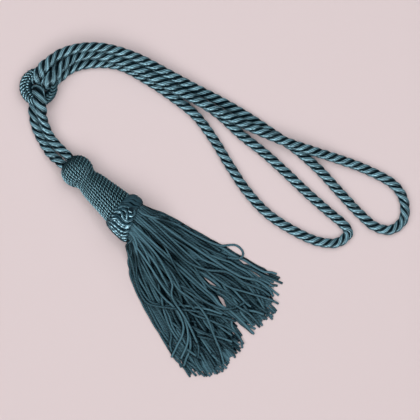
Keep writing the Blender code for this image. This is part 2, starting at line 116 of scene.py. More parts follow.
# The loop rope's route: x and y across the surface, z up, and how far the rope is squeezed. What
# a point leaves out is as where the rope lies loose on the surface.
LYING = (3.95, 1.0)
LOOP_ROUTE = (
    # in the ring's hole, up and over its upper bar
    (-88.0, 112.5, 11.3, 0.8), (-87.7, 113.3, 14.6, 0.8), (-86.6, 116.4, 17.4, 0.8),
    (-84.3, 120.9, 18.6, 0.82), (-79.0, 126.3, 18.3, 0.92), (-70.5, 132.6, 17.8),
    # top run, side by side with the next one, down to the surface
    (-55.0, 137.5, 18.3), (-38.0, 138.2, 17.6), (-20.0, 134.2, 16.0), (-5.9, 128.9, 14.3),
    (15.3, 117.8, 11.6), (36.4, 106.7, 9.0), (57.5, 96.1, 5.6), (78.2, 84.3, 4.2), (98.3, 71.0),
    (118.1, 57.5), (136.0, 41.6), (152.2, 23.9), (168.6, 6.4),
    # right loop's end
    (180.5, -3.6), (193.0, -6.3), (203.0, 1.6), (203.6, 17.0), (196.1, 29.2), (175.3, 41.1, 4.1),
    (152.9, 49.5, 6.2),
    # over the first run, and beside it to the ring
    (130.5, 56.5, 10.5), (107.9, 64.1, 12.3), (85.9, 73.3, 11.4), (64.2, 83.4, 11.6),
    (43.0, 94.3, 12.1), (21.6, 105.2, 11.7), (0.5, 116.7, 11.4), (-21.0, 127.3, 11.5),
    (-44.1, 132.9, 11.6), (-58.5, 129.9, 13.6), (-68.6, 122.6, 17.2, 0.94),
    # over the ring's right bar, down its hole and out beneath
    (-76.2, 114.2, 18.7, 0.82), (-79.8, 110.5, 16.2, 0.8), (-81.2, 109.5, 11.1, 0.8),
    (-79.2, 110.7, 5.0, 0.8), (-75.0, 113.4, 3.3, 0.82), (-69.6, 117.2, 3.8, 0.94),
    # lowest run beside the others, then away to the left loop's end
    (-58.0, 124.0), (-38.0, 126.6), (-21.4, 124.0), (-0.3, 112.7), (19.6, 99.4), (38.1, 84.3),
    (52.4, 65.0), (64.9, 44.5), (78.3, 24.6), (94.5, 7.0), (114.5, -6.3), (136.5, -15.9),
    (151.2, -16.2), (159.4, -8.6), (155.0, -1.6), (145.7, 6.3), (127.6, 22.1), (110.2, 38.7),
    (92.5, 54.8), (73.6, 69.7),
    # hidden run under the two upper ones, back under the bar into the hole
    (55.9, 85.9), (35.9, 99.1), (16.0, 112.6), (-4.3, 125.6), (-26.8, 134.1), (-50.6, 135.2),
    (-72.0, 126.9, 3.95, 0.94), (-82.4, 119.8, 3.4, 0.82), (-86.2, 116.2, 4.4, 0.8),
    (-87.8, 113.3, 7.6, 0.8), (-88.0, 112.5, 10.9, 0.8),
)

# The tassel cord's route: from the head, under the ring's lower bar, up its hole, over and back.
CORD_ROUTE = (
    (-67.3, 45.0, 11.3, 0.92), (-71.1, 48.3, 10.6, 0.94), (-77.3, 53.5, 6.8), (-82.6, 61.2, 4.3),
    (-88.7, 72.8), (-91.4, 82.5), (-91.2, 90.5, 3.8, 0.94), (-89.9, 97.2, 3.4, 0.82),
    (-88.7, 102.8, 5.2, 0.82), (-87.9, 105.3, 11.1, 0.82), (-87.1, 102.9, 17.0, 0.82),
    (-86.1, 96.9, 19.1, 0.84), (-85.0, 90.3, 17.6, 0.94), (-83.9, 82.6, 13.4), (-81.9, 75.4, 10.2),
    (-78.6, 68.0, 8.3), (-73.1, 61.0, 8.8), (-66.2, 54.7, 10.8, 0.94), (-62.2, 50.6, 11.4, 0.92),
)

# ---- ring

RING_CENTRE = np.array((-87.3, 107.3, 11.1))
RING_OUTER_RADIUS = 15.4
RING_HOLE_RADIUS = 8.5
RING_HOLE_SHIFT = (1.6, 0.8)
RING_STITCHES = 27
RING_STITCH_POINTS = 91
RING_STITCH_SIDES = 12
RING_STITCH_TONES = (0.6, 0.9)
RING_STITCH_SLANT = 0.30
RING_STITCH_RIDGE = 0.62
RING_STITCH_FILL = 0.31
RING_STITCH_TWIST = 1.1
RING_STITCH_PLIES = 2
RING_STITCH_DEPTH = 0.16
RING_CORE_POINTS = 96
RING_CORE_SIDES = 24
RING_CORE_INSET = 1.5
# Painted shade: the dark core bulges into the hole by so much, at this angle round the tube and so
# wide.
RING_SHADE_BULGE = 4.3
RING_SHADE_BULGE_ANGLE = 3.4
RING_SHADE_BULGE_WIDTH = 0.5
RING_BEADS = 24
RING_BEAD_POINTS = 7
RING_BEAD_SIDES = 8
RING_BEAD_TONE = 1.0
RING_BEAD_RADIUS = 1.0
RING_BEAD_BLUNT = 1.05
# Where a bead lies round the tube, how far it turns round ring and tube, its lift and its drop.
RING_BEAD_ANGLE = 2.25
RING_BEAD_TURN = 0.06
RING_BEAD_ROLL = 0.30
RING_BEAD_LIFT = 0.15
RING_BEAD_DROP = 0.4

# ---- the tassel's frame

BALL_CENTRE = np.array((-55.8, 39.8, 12.4))
AXIS_ANGLE = math.radians(-41.8)
AXIS_RISE = math.radians(4.7)

# ---- head

HEAD_PROFILE = (
    # s, radius
    (-11.1, 4.2), (-11.0, 6.5), (-8.4, 10.0), (-4.5, 12.1), (0.0, 12.6), (4.2, 11.6), (7.2, 9.9),
    (9.6, 9.3), (12.4, 9.9), (17.0, 11.0), (24.0, 11.8), (31.0, 12.5), (38.0, 13.3), (47.0, 14.3),
)
HEAD_RIBS = 34
HEAD_STEP = 0.38
HEAD_RIB_SLANT = 0.25
HEAD_CORD_FILL = 0.84
HEAD_CORD_SINK = 0.6
HEAD_PLIES = 2
HEAD_PLY_SIDES = 8
HEAD_PLY_START = 2.4
HEAD_PLY_RING = 0.56
HEAD_PLY_RADIUS = 0.48
HEAD_PLY_PITCH = 5.8
HEAD_CORE_SIDES = 48
HEAD_CORE_INSET = 1.5
# Painted shade and highlight: a ply's tone at its rib's middle line, and its rise a rib width
# higher.
HEAD_SHADED_TONE = -2.1
HEAD_LIT_TONE_RISE = 3.3

# ---- collar

COLLAR_TOP = 45.0
COLLAR_LOWER_EDGE = 59.2
COLLAR_SLANT = -0.373
COLLAR_CORDS = 24
COLLAR_CORD_STEP = 0.8
# A satin cord's radius, the depth of the grooves between its yarns, and its tone.
COLLAR_CORD = (1.95, 0.16, 0.6)
COLLAR_HOOK = 0.26
SATIN_CORD_SIDES = 24
SATIN_CORD_YARNS = 8
SATIN_CORD_TWIST = 0.2
COLLAR_SECTION = (
    # share of the way down the band, radius of the cords' middle lines
    (-0.03, 12.8), (0.06, 14.4), (0.25, 15.3), (0.5, 15.7), (0.78, 15.8), (0.94, 15.3),
    (1.0, 14.2),
)

# ---- knot

KNOT_RADIUS = 17.6
KNOT_CORD_STEP = 0.6
KNOT_CORD = (1.4, 0.12, 0.7)
KNOT_CORDS = (
    # s, u and how far the cord's middle line is lifted off the collar
    ((47.0, -10.1, -1.5), (47.7, -7.9, 0.3), (49.8, -6.1, 0.6), (52.9, -6.5, 0.6),
     (56.0, -6.5, 0.6), (58.8, -5.5, 0.4), (61.0, -3.2, 0.0), (61.0, -1.0, -1.5)),
    ((45.0, -3.7, -0.5), (46.5, -1.5, 1.2), (49.1, -0.3, 2.2), (51.3, -1.0, 2.4),
     (53.2, -2.2, 2.2), (55.7, -2.5, 1.5), (57.9, -1.7, 0.6), (59.0, 0.3, 0.0), (58.9, 2.4, -1.5)),
    ((47.1, 0.5, -0.5), (48.5, 2.1, 1.0), (50.8, 3.0, 1.8), (53.2, 2.3, 2.2), (54.9, 0.4, 1.8),
     (55.8, -1.6, 0.8), (55.8, -3.5, -1.0)),
    ((45.9, -0.1, -1.2), (45.7, 1.7, 0.3), (46.6, 3.8, 0.9), (48.5, 5.4, 0.9), (50.7, 6.3, 1.0),
     (52.8, 7.1, 1.2), (55.6, 7.3, 1.2), (57.6, 6.2, 1.0), (57.7, 4.1, 1.0), (56.9, 2.7, 1.0),
     (55.3, 2.2, 0.8), (53.4, 2.7, -0.5)),
)
KNOT_BALL = (53.9, 5.6, 1.6)
KNOT_BALL_POINTS = 15
KNOT_BALL_RADIUS = 2.5
KNOT_BALL_BLUNT = 1.02
KNOT_BALL_YARNS = 12
KNOT_BALL_DEPTH = 0.1
KNOT_BALL_TONE = 0.1

# ---- skirt

PLUG_INSET = 1.3
# Strands leave the heading on a lattice with one to each cell of so many square millimetres.
STRAND_RADIUS = 0.91
STRAND_SIZES = (0.92, 1.08)
STRAND_LOWEST = STRAND_RADIUS + 0.02
STRAND_SIDES = 8
STRAND_POINTS = 64
STRAND_CELL = 2.75
STRAND_FIELD_RADIUS = 14.2
STRAND_FIELD_CELLS = 20
STRAND_FIELD_SHIFT = (0.37, 0.19)
STRAND_SINK = 2.0
# A strand's tone, how much painted shade darkens its flanks from which height down, how far
# from the heading it is brighter, and how near the strands are whose painted shade falls on it.
STRAND_TONES = (0.10, 1.25)
STRAND_FLANK_SHADE = 1.4
STRAND_LIT = 0.25
STRAND_BRIGHT_BY = 0.35
STRAND_BRIGHTER = 0.25
SHADE_REACH = 3.4
SHADE_AT_TOP = 0.4
FRINGE_LENGTH = 128.0
FRINGE_POINTS = 90
FRINGE_SPREAD = 2.6
FRINGE_LOFT = 1.2
FRINGE_LOFTED_BY = 0.25
FRINGE_LYING_BY = 0.45
FRINGE_LEAD = 0.16
FRINGE_PIECES = 3
FRINGE_SEED = 11
FRINGE_GUIDE_ROWS = 69
FRINGE_GUIDE_END = 1.12
FRINGE_EDGE = 1.02
FRINGE_GUIDES = (
    # share of the length, then x and y of five lines of fringe from the left edge to the right
    (0.10, (-17.0, -28.0), (-10.9, -19.7), (-5.1, -9.4), (0.2, 0.2), (4.3, 10.6)),
    (0.25, (-11.8, -44.4), (-1.4, -36.7), (7.8, -24.4), (16.0, -12.4), (20.3, 0.6)),
    (0.40, (-4.9, -60.8), (9.0, -53.2), (21.2, -39.0), (32.0, -24.6), (37.1, -8.6)),
    (0.55, (3.0, -76.2), (20.0, -69.4), (34.5, -53.6), (48.2, -36.4), (53.4, -18.4)),
    (0.70, (11.3, -91.2), (31.3, -85.4), (47.8, -68.3), (64.1, -48.9), (69.9, -27.2)),
    (0.85, (20.6, -106.0), (43.0, -101.0), (60.6, -83.5), (79.4, -62.5), (85.7, -36.8)),
    (1.00, (31.3, -120.0), (54.5, -116.8), (73.7, -98.4), (93.7, -76.8), (102.5, -45.6)),
)
FRINGE_ENDS = (
    # place across the fringe, how far down the guide lines its ends reach
    (-1.0, 1.02), (-0.85, 1.05), (-0.6, 1.03), (-0.3, 1.02), (-0.05, 0.99), (0.08, 0.83),
    (0.2, 0.87), (0.34, 1.0), (0.45, 0.99), (0.62, 1.04), (0.8, 0.97), (1.0, 1.02),
)
FRINGE_END_SPREAD = 0.13
FRINGE_TOP_ABOVE = 3.0
FRINGE_WAVE_TURNS = (0.8, 2.2)
# How far strands wave and stray, below and at the top.
FRINGE_WAVES = (0.07, 0.16)
FRINGE_STRAYS = (0.25, 0.50)
FRINGE_PARTING = 0.22
FRINGE_PARTING_WIDTH = 0.10
FRINGE_PARTING_REACH = 0.16
# From which share of the length the waves, the straying and the parting rise, and over how much.
FRINGE_WAVE_RISE = (0.25, 0.50)
FRINGE_STRAY_RISE = (0.20, 0.80)
FRINGE_PARTING_RISE = (0.45, 0.15)

# Locks of strands that swing together: so many across, and as many again in the upper layer.
# The other draws go unused.
LOCKS_ACROSS = 14
LOCKS_UPPER_ABOVE = 4.0
LOCKS_DRAWN = 40
LOCK_SWING = 0.09

# How the pile settles: millimetres and shares a round.
SETTLE_ROUNDS = 100
SETTLE_PINNED = 3
SETTLE_FREED_OVER = 6.0
SETTLE_SINK = 0.16
SETTLE_STIFFNESS = 0.08
SETTLE_STRETCH_FIXES = 3

# Slits and laid strands are read from the photograph, in its pixels of 0.8 mm, of which
# the origin is the one at x = y = 0.
PIXEL = 0.8
PIXEL_ORIGIN = (148.9, 222.0)
SLITS = (
    # pixels at the two ends of a slit between strands, and how far its sides open
    ((206, 276), (219, 293), 2.9),
    ((216, 296), (228, 306), 2.7),
    ((239, 259.5), (248, 265), 1.2),
    ((249, 269), (259, 276.5), 0.6),
    ((233, 317), (238, 330), 2.0),
)
SLIT_REACH = 3.2
SLIT_ASIDE = 12.8
SLIT_STRAIGHT = 2.0
DRAPE_CELL = 0.5
DRAPE_MARGIN = 4 * STRAND_RADIUS
DRAPE_REACH = 2.5
DRAPE_SINK = 0.75
LAID_BLEND = 0.14
LAID_LEAD = 6.0
LAID_WITHIN = 12.5
LAID_FROM_TOP = 0.6
LAID_STRANDS = (
    # layer, then the photograph's pixels that the strand passes
    (4, (126, 246), (131, 262), (136, 283), (141, 296), (147, 303.5), (155, 306), (166, 307.5),
     (180, 309), (195, 311), (210, 313.5), (224, 317), (236, 321)),
    (3, (137, 281), (143, 294), (150, 302), (160, 305), (175, 306.5), (190, 309), (205, 311),
     (220, 315), (229, 318)),
    (3, (140, 255), (147, 270), (155, 285), (162, 296), (170, 303), (183, 305.5), (196, 307.5),
     (208, 309.5), (222, 314)),
    (2, (150, 255), (156, 270), (163, 280), (175, 283), (186, 288), (198, 296), (210, 304),
     (222, 312), (232, 318)),
    (3, (160, 240), (180, 275), (192, 290), (203, 300), (212, 305), (222, 308.5), (232, 308.5),
     (239, 306), (244, 303)),
    (2, (165, 245), (185, 275), (200, 294), (212, 301), (222, 306), (232, 311), (240, 309.5),
     (246, 306)),
    (4, (140, 262), (150, 280), (163, 297), (175, 308), (181, 318), (183.5, 327), (182, 336),
     (177, 346), (171.5, 357.5)),
    (4, (150, 265), (163, 285), (176, 303), (185, 320), (188, 333), (187.5, 343), (184.5, 351),
     (181, 358.5)),
    (3, (160, 270), (175, 293), (188, 318), (195, 336), (198.5, 347), (198, 358)),
    (3, (155, 262), (170, 290), (185, 322), (190, 338), (190, 350), (186.5, 358), (184, 366)),
    (0, (128, 252), (134, 280), (143, 301), (151, 315), (160, 333), (171, 350), (180, 362),
     (190, 377)),
    (1, (130, 262), (140, 290), (152, 315), (160, 330), (175, 350), (187, 362), (195, 368),
     (200, 375.5)),
    (1, (150, 255), (165, 290), (180, 325), (192, 350), (199, 364), (206, 374)),
    (2, (150, 250), (162, 275), (175, 300), (188, 322), (200, 333), (210, 334.5), (221, 338),
     (232, 342)),
    (2, (147, 252), (158, 276), (171, 302), (184, 325), (197, 336), (209, 338.5), (220, 342),
     (229, 348)),
    (3, (170, 270), (185, 297), (196, 311), (208, 318), (221, 328), (232, 336)),
    (5, (157, 255), (167, 272), (172.5, 284), (171.5, 293), (174.5, 302), (182, 313), (190, 327),
     (197, 343)),
    (0, (180, 229), (200, 240), (215, 248.5), (228, 254), (238, 258), (247, 262), (256, 269),
     (265, 272.5), (276, 274)),
    (4, (175, 224), (195, 235), (205, 240), (213, 243.5), (222, 246), (230, 245.2), (236, 245.5),
     (240, 248), (243, 252), (243.3, 255.5), (241, 258.3), (236, 259), (228, 257.5)),
    (1, (200, 245), (225, 257), (240, 263), (252, 270), (262, 275), (272, 279), (282.5, 283.5)),
    (2, (215, 262), (232, 272), (245, 278), (256, 278.5), (265, 281.5), (274, 287)),
    (2, (225, 285), (245, 292), (262, 297), (272, 300.5), (278.5, 304)),
    (2, (240, 276), (258, 281), (268, 288), (273.5, 296.5)),
    (3, (200, 285), (222, 303), (240, 320), (254, 334.5)),
    (3, (198, 287), (220, 305), (238, 321), (252.5, 334)),
    (3, (215, 290), (235, 305), (250, 315), (260, 325.5)),
    (4, (190, 312), (210, 320), (228, 328), (236, 333), (243.5, 344)),
    (3, (187, 322), (205, 333), (222, 342), (237, 353.5)),
    (2, (167, 218), (175, 223), (180, 226.5), (184, 225.7), (189, 229), (193, 233), (205, 241),
     (220, 251)),
    (3, (145, 250), (153, 270), (160, 292), (164, 312), (171, 330), (182, 345), (196, 356)),
    (2, (180, 250), (200, 268), (221, 276), (240, 288), (254, 303), (266, 312)),
    (3, (170, 245), (188, 262), (207, 270), (226, 272), (243, 282), (262, 290), (270, 296)),
    (4, (163, 262), (178, 288), (193, 300), (206, 316), (213, 333), (220, 350), (224, 364)),
    (3, (158, 268), (168, 296), (176, 320), (190, 338), (205, 350), (216, 366)),
    (2, (190, 262), (206, 282), (226, 292), (244, 306), (254, 322)),
    (3, (140, 270), (149, 292), (163, 318), (171, 334), (170, 346), (172, 352)),
)


# ---- lines


def spline_through(rows, per_span=12):
    """Centripetal Catmull-Rom curve through rows of numbers."""
    rows = np.asarray(rows, float)
    knots = np.vstack([2 * rows[0] - rows[1], rows, 2 * rows[-1] - rows[-2]])
    share = np.arange(per_span)[:, None] / per_span
    line = []
    for before, start, end, after in zip(knots, knots[1:], knots[2:], knots[3:]):
        t0 = 0.0
        t1 = t0 + math.sqrt(np.linalg.norm(start - before))
        t2 = t1 + math.sqrt(np.linalg.norm(end - start))
        t3 = t2 + math.sqrt(np.linalg.norm(after - end))
        t = t1 + (t2 - t1) * share
        a = before + (start - before) * (t - t0) / (t1 - t0)
        b = start + (end - start) * (t - t1) / (t2 - t1)
        c = end + (after - end) * (t - t2) / (t3 - t2)
        ab = a + (b - a) * (t - t0) / (t2 - t0)
        bc = b + (c - b) * (t - t1) / (t3 - t1)
        line.append(ab + (bc - ab) * (t - t1) / (t2 - t1))
    return np.vstack([*line, knots[-2]])


def reach_along(line):
    """Distance along a line at each of its points."""
    steps = np.linalg.norm(np.diff(line[:, :3], axis=0), axis=1)
    return np.concatenate([[0.0], np.cumsum(steps)])


def even_points(line, count):
    reach = reach_along(line)
    places = np.linspace(0.0, reach[-1], count)
    return np.stack([np.interp(places, reach, column) for column in line.T], axis=1)


def even_steps(line, step):
    return even_points(line, round(reach_along(line)[-1] / step) + 1)


def unit(vectors):
    return vectors / np.linalg.norm(vectors, axis=-1, keepdims=True)


def carried_side(along):
    """A direction across a line, carried along it without turning round it."""
    side = np.cross(along[0], (0.0, 0.0, 1.0))
    if np.linalg.norm(side) < NEARLY_UPRIGHT:
        side = np.cross(along[0], (1.0, 0.0, 0.0))
    sides = []
    for direction in along:
        side = unit(side - side.dot(direction) * direction)
        sides.append(side)
    return np.array(sides)


def smooth_rise(share):
    """From 0 to 1, level at both ends."""
    share = np.clip(share, 0.0, 1.0)
    return share * share * (3 - 2 * share)


def smooth_fall(value, start, end):
    """From 1 at the start to 0 at the end."""
    return 1 - smooth_rise((value - start) / (end - start))


def with_ends(rows):
    """The same rows with the first and the last twice, as a tube with blunt ends has its rings."""
    return rows[[0, *range(len(rows)), -1]]


def lookup(table, place):
    """Smooth value from a table whose first column rises."""
    for (x0, y0), (x1, y1) in zip(table, table[1:]):
        if place <= x1:
            return y0 + (y1 - y0) * smooth_rise((place - x0) / (x1 - x0))
    return table[-1][1]


# ---- tubes of yarn, gathered into meshes


def tube(line, radius, sides, out=None, wide=1.0, turn=0.0, ridges=0, depth=0.0, tone=0.5):
    """Rings of points round a line, with yarns along them and a blunt end at either side.

    Each ring starts in the direction out, is wider across it, and turns so much a millimetre. Its
    ridges are the yarns, with grooves of that depth between them.
    """
    radius = with_ends(np.broadcast_to(np.asarray(radius, float), len(line)))
    depth = with_ends(np.broadcast_to(np.asarray(depth, float), len(line)))
    reach = with_ends(reach_along(line))
    along = unit(np.gradient(line, axis=0))
    out = carried_side(along) if out is None else out
    out = with_ends(unit(out - (out * along).sum(1, keepdims=True) * along))
    along = with_ends(along)
    line = with_ends(line)
    line[0] -= TUBE_END_REACH * radius[0] * along[0]
    line[-1] += TUBE_END_REACH * radius[-1] * along[-1]
    radius[[0, -1]] *= TUBE_END_RADIUS
    up = np.cross(along, out)
    angle = TURN * np.arange(sides) / sides + turn * reach[:, None]
    groove = 1 - np.abs(np.sin(math.pi * ridges * np.arange(sides) / sides))
    size = radius[:, None] - depth[:, None] * groove * (ridges > 0)
    rings = (
        line[:, None]
        + (size * np.cos(angle))[..., None] * out[:, None]
        + (wide * size * np.sin(angle))[..., None] * up[:, None]
    )
    return {"rings": above_floor(rings), "reach": reach, "tone": tone, "closed": False}


def above_floor(points, clearance=FLOOR_CLEARANCE):
    """The same points, pressed flat where they would go through the surface."""
    points[..., 2] = np.maximum(points[..., 2], clearance)
    return points


def tube_faces(form, first):
    """A tube's faces: the points of each corner, the yarn coordinates there and face sizes."""
    count, sides = form["rings"].shape[:2]
    rows = count if form["closed"] else count - 1
    i, j = (grid.ravel() for grid in np.meshgrid(np.arange(rows), np.arange(sides), indexing="ij"))
    i1, j1 = (i + 1) % count, (j + 1) % sides
    corners = first + np.stack([i * sides + j, i * sides + j1, i1 * sides + j1, i1 * sides + j], 1)
    reach = form["reach"]
    ahead = np.where(i + 1 < count, reach[i1], reach[-1] + reach[1] - reach[0])
    u = np.stack([reach[i], reach[i], ahead, ahead], 1)
    v = np.stack([j, j + 1, j + 1, j], 1) / sides
    corners, u, v = corners.ravel(), u.ravel(), v.ravel()
    sizes = np.full(rows * sides, 4)
    if not form["closed"]:
        start = first + np.arange(sides)[::-1]
        end = first + (count - 1) * sides + np.arange(sides)
        corners = np.concatenate([corners, start, end])
        u = np.concatenate([u, np.full(sides, reach[0]), np.full(sides, reach[-1])])
        v = np.concatenate([v, np.arange(sides)[::-1] / sides, np.arange(sides) / sides])
        sizes = np.concatenate([sizes, [sides, sides]])
    return corners, np.stack([u, v], 1), sizes


def mesh_of(name, forms):
    """One mesh of many tubes, with yarn coordinates and each tube's own tone."""
    found = []
    first = 0
    for form in forms:
        points = form["rings"].reshape(-1, 3)
        tones = np.broadcast_to(form["tone"], form["rings"].shape[:2]).ravel()
        found.append((points, tones, *tube_faces(form, first)))
        first += len(points)
    points, tones, corners, places, sizes = map(np.concatenate, zip(*found))
    mesh = bpy.data.meshes.new(name)
    mesh.vertices.add(len(points))
    mesh.vertices.foreach_set("co", (points * MM).ravel().astype(np.float32))
    mesh.loops.add(len(corners))
    mesh.loops.foreach_set("vertex_index", corners.astype(np.int32))
    mesh.polygons.add(len(sizes))
    starts = np.concatenate([[0], np.cumsum(sizes)[:-1]])
    mesh.polygons.foreach_set("loop_start", starts.astype(np.int32))
    mesh.update(calc_edges=True)
    mesh.uv_layers.new(name="yarn").uv.foreach_set("vector", places.ravel().astype(np.float32))
    tone = mesh.attributes.new("tone", "FLOAT", "POINT")
    tone.data.foreach_set("value", tones.astype(np.float32))
    mesh.validate()
    mesh.polygons.foreach_set("use_smooth", sizes == 4)
    return mesh


def add_object(name, data):
    added = bpy.data.objects.new(name, data)
    bpy.context.scene.collection.objects.link(added)
    return added


def add_piece(name, forms, node, material):
    """A piece of the object that stands for a solid and takes its finish from a slot."""
    piece = add_object(name, mesh_of(name, forms))
    piece.data.materials.append(material)
    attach(piece, "root")
    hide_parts(node)
    return piece


def plies(line, size, count, ring, pitch, start=0.0):
    """Middle lines of strands laid round a line, and their directions away from it."""
    along = unit(np.gradient(line, axis=0))
    side = carried_side(along)
    up = np.cross(along, side)
    reach = reach_along(line)
    strands = []
    for number in range(count):
        angle = (start + TURN * number / count + TURN * reach / pitch)[:, None]
        out = np.cos(angle) * side + np.sin(angle) * up
        strands.append((line + ring * np.reshape(size, (-1, 1)) * out, out))
    return strands


# ---- materials


YARN_IOR = 1.75
YARN_SHEEN = (0.50, 0.85, 1.0, 1.0)
YARN_DARK = (0.0010, 0.0050, 0.0085, 1.0)

# What sets each piece's yarn apart: see yarn_material. Crest and crest_span give painted shade in
# grooves.
ROPE_YARN = dict(
    light=(0.270, 0.520, 0.630, 1.0), lines=ROPE_YARNS, roughness=0.30, streak=0.85,
    shine=0.50, contrast=1.3, crest=ROPE_YARN_TURN, crest_span=(0.55, 1.06),
)
RING_YARN = dict(
    light=(0.060, 0.135, 0.165, 1.0), lines=6, slant=1.2, roughness=0.28, streak=0.5,
    bump_depth=0.02, crest=RING_STITCH_TWIST,
)
HEAD_YARN = dict(light=(0.158, 0.338, 0.402, 1.0), lines=3, roughness=0.30, streak=0.4)
COLLAR_YARN = dict(
    light=(0.033, 0.086, 0.116, 1.0), lines=SATIN_CORD_YARNS, roughness=0.33, streak=0.85,
    crest=SATIN_CORD_TWIST,
)
FRINGE_YARN = dict(
    light=(0.076, 0.165, 0.208, 1.0), lines=2, slant=2.4, roughness=0.45, streak=0.0,
    bump_depth=0.04, shine=0.06, contrast=0.25,
)

# How fast flecks follow each other along a yarn, round it and from tone to tone.
FLECK_SCALE = (0.25, 14.0, 40.0)
# How much flecks, tone and the painted shade of the lines between filaments add to a yarn's
# lightness.
FLECK_SHARE = 0.9
TONE_SHARE = 0.7
LINE_LEVEL = 0.6
LEVEL = -0.21
FLECK_HEIGHT = 0.6


class Nodes:
    """Short calls for building one material's node tree."""

    def __init__(self, name):
        self.material = bpy.data.materials.new(name)
        self.material.use_nodes = True
        self.tree = self.material.node_tree
        self.shader = self.tree.nodes["Principled BSDF"]

    def add(self, kind, inputs=(), **settings):
        """A node's outputs, once it has its settings and its inputs."""
        node = self.tree.nodes.new(kind)
        for key, value in settings.items():
            setattr(node, key, value)
        self.fill(node, inputs)
        return node.outputs

    def fill(self, node, inputs):
        """Gives a node's inputs, by name or number, a value each or another node's output."""
        for key, value in dict(inputs).items():
            if isinstance(value, bpy.types.NodeSocket):
                self.tree.links.new(value, node.inputs[key])
            else:
                node.inputs[key].default_value = value

    def math(self, operation, *values):
        return self.add("ShaderNodeMath", enumerate(values), operation=operation)[0]

    def clamped(self, value):
        return self.add("ShaderNodeClamp", {"Value": value})[0]


def yarn_material(
    name, light, lines, roughness, streak, slant=0.0, bump_depth=0.01, shine=1.0, contrast=0.4,
    crest=None, crest_span=(0.40, 0.86),
):
    """Satin yarn: so many lines of filaments round the tube, uneven in colour from end to end.

    Slant turns the lines round the tube, streak draws its sheen out along them, and contrast is
    how much painted shade darkens the yarn between them. Crest is how fast the tube's outer side
    turns round it, for cords whose flanks lie in a groove and get painted shade there: crest_span
    has the cosines at which this painted shade leaves the yarn darkest and lightest.
    """
    nodes = Nodes(name)
    place = nodes.add("ShaderNodeUVMap", uv_map="yarn")["UV"]
    along, around, _ = nodes.add("ShaderNodeSeparateXYZ", {0: place})
    phase = nodes.math("MULTIPLY_ADD", around, TURN * lines, nodes.math("MULTIPLY", along, slant))
    line = nodes.math("MULTIPLY_ADD", nodes.math("COSINE", phase), -0.5, 0.5)
    tone = nodes.add("ShaderNodeAttribute", attribute_name="tone")["Fac"]
    spot = [nodes.math("MULTIPLY", *both) for both in zip((along, around, tone), FLECK_SCALE)]
    spot = nodes.add("ShaderNodeCombineXYZ", enumerate(spot))[0]
    fleck = nodes.add("ShaderNodeTexNoise", {"Vector": spot, "Scale": 1.0, "Detail": 2.0})["Fac"]
    share = nodes.math("MULTIPLY_ADD", fleck, FLECK_SHARE, LEVEL - LINE_LEVEL * contrast)
    # Painted shade: darker between the lines of filaments.
    share = nodes.math("MULTIPLY_ADD", line, contrast, share)
    share = nodes.math("MULTIPLY_ADD", tone, TONE_SHARE, share)
    # Painted shade on the flanks that lie in a groove between cords.
    if crest is not None:
        turned = nodes.math("MULTIPLY_ADD", around, TURN, nodes.math("MULTIPLY", along, crest))
        low, high = crest_span
        above = nodes.math("SUBTRACT", nodes.math("COSINE", turned), low)
        groove_shade_factor = nodes.clamped(nodes.math("DIVIDE", above, high - low))
        share = nodes.math("MULTIPLY", share, groove_shade_factor)
    mixed = {"Factor": nodes.clamped(share), "A": YARN_DARK, "B": light}
    height = nodes.math("MULTIPLY_ADD", fleck, FLECK_HEIGHT, line)
    bump = {"Strength": 1.0, "Distance": bump_depth * MM, "Height": height}
    look = {
        "Base Color": nodes.add("ShaderNodeMix", mixed, data_type="RGBA")["Result"],
        "Normal": nodes.add("ShaderNodeBump", bump)["Normal"],
        "Tangent": nodes.add("ShaderNodeTangent", direction_type="UV_MAP", uv_map="yarn")[0],
        "Roughness": roughness,
        "Anisotropic": streak,
        "IOR": YARN_IOR,
        "Specular IOR Level": shine,
        "Specular Tint": YARN_SHEEN,
    }
    nodes.fill(nodes.shader, look)
    return nodes.material


# ---- camera, light and floor


def make_camera():
    data = bpy.data.cameras.new("camera")
    data.sensor_width = SENSOR
    data.lens = SENSOR * CAMERA_HEIGHT / FRAME_WIDTH
    data.clip_end = CAMERA_REACH
    camera = add_object("camera", data)
    camera.location = (*VIEW_CENTRE, CAMERA_HEIGHT)
    bpy.context.scene.camera = camera


def area_light(name, place, size, power, colour, diffuse, sheen):
    """A rectangular light that shows in diffuse light, in the yarns' sheen or in both."""
    data = bpy.data.lights.new(name, "AREA")
    data.shape = "RECTANGLE"
    data.size, data.size_y = size
    data.energy = power
    data.color = colour
    light = add_object(name, data)
    light.location = place
    target = np.array((*VIEW_CENTRE, 0.0))
    away = unit(np.array(place) - target)
    light.rotation_euler = (math.acos(away[2]), 0.0, math.atan2(away[0], -away[1]))
    light.visible_diffuse = diffuse
    light.visible_glossy = sheen


def make_lights():
    for light in LIGHTS:
        area_light(*light)
    world = bpy.data.worlds.new("studio")
    world.use_nodes = True
    studio = world.node_tree.nodes["Background"].inputs
    studio["Color"].default_value = STUDIO_COLOUR
    studio["Strength"].default_value = STUDIO_STRENGTH
    bpy.context.scene.world = world
    bpy.context.scene.view_settings.view_transform = "Standard"


def make_floor():
    """A plain pale floor, which isn't mirrored in the yarns."""
    mesh = bpy.data.meshes.new("floor")
    half = FLOOR_HALF
    corners = [(-half, -half, 0.0), (half, -half, 0.0), (half, half, 0.0), (-half, half, 0.0)]
    mesh.from_pydata(corners, [], [(0, 1, 2, 3)])
    floor = add_object("floor", mesh)
    nodes = Nodes("floor")
    look = {"Base Color": FLOOR_COLOUR, "Roughness": FLOOR_ROUGHNESS, "Specular IOR Level": 0.0}
    nodes.fill(nodes.shader, look)
    mesh.materials.append(nodes.material)
    floor.visible_glossy = False


# ---- ropes


